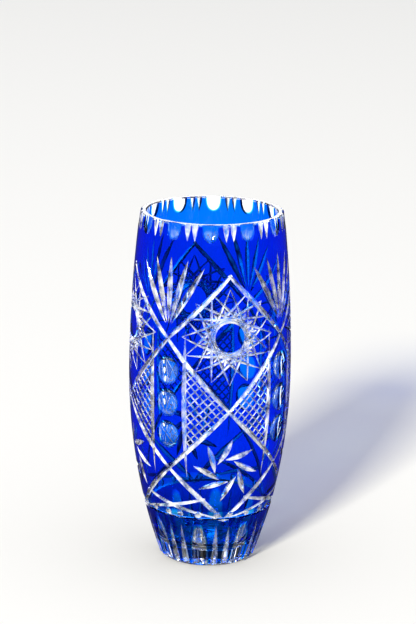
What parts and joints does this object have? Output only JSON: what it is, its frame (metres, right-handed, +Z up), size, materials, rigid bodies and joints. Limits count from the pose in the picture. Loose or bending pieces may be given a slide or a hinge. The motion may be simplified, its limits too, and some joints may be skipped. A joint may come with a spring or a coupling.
{
  "type": "cut crystal vase",
  "caption": "Barrel-shaped crystal vase with a cobalt casing cut through to clear: stars, pinwheels, olives, crosshatch, fans, a scalloped lip and a fluted foot.",
  "frame": {"origin": "centre of the flat base, on the surface that the vase stands on", "axes": "+Z up along the vase's axis of symmetry, -Y through the middle of the first star, +X to the right of someone facing that star"},
  "size_m": [0.1138, 0.1138, 0.25],
  "materials": {
    "crystal": "clear, polished, bright cut facets",
    "cobalt": "deep cobalt blue casing, polished"
  },
  "bodies": {
    "root": {"crystal_body": "crystal", "shoulder_casing": "cobalt", "foot_casing": "cobalt", "star_panel_1": "cobalt", "star_panel_2": "cobalt", "star_panel_3": "cobalt", "star_panel_4": "cobalt", "star_button_1": "cobalt", "star_button_2": "cobalt", "star_button_3": "cobalt", "star_button_4": "cobalt", "olive_column_1": "cobalt", "olive_column_2": "cobalt", "olive_column_3": "cobalt", "olive_column_4": "cobalt", "hatch_left_1": "cobalt", "hatch_left_2": "cobalt", "hatch_left_3": "cobalt", "hatch_left_4": "cobalt", "hatch_right_1": "cobalt", "hatch_right_2": "cobalt", "hatch_right_3": "cobalt", "hatch_right_4": "cobalt", "pinwheel_panel_1": "cobalt", "pinwheel_panel_2": "cobalt", "pinwheel_panel_3": "cobalt", "pinwheel_panel_4": "cobalt", "lower_kite_1": "cobalt", "lower_kite_2": "cobalt", "lower_kite_3": "cobalt", "lower_kite_4": "cobalt", "corner_left_1": "cobalt", "corner_left_2": "cobalt", "corner_left_3": "cobalt", "corner_left_4": "cobalt", "corner_right_1": "cobalt", "corner_right_2": "cobalt", "corner_right_3": "cobalt", "corner_right_4": "cobalt"}
  },
  "joints": []
}
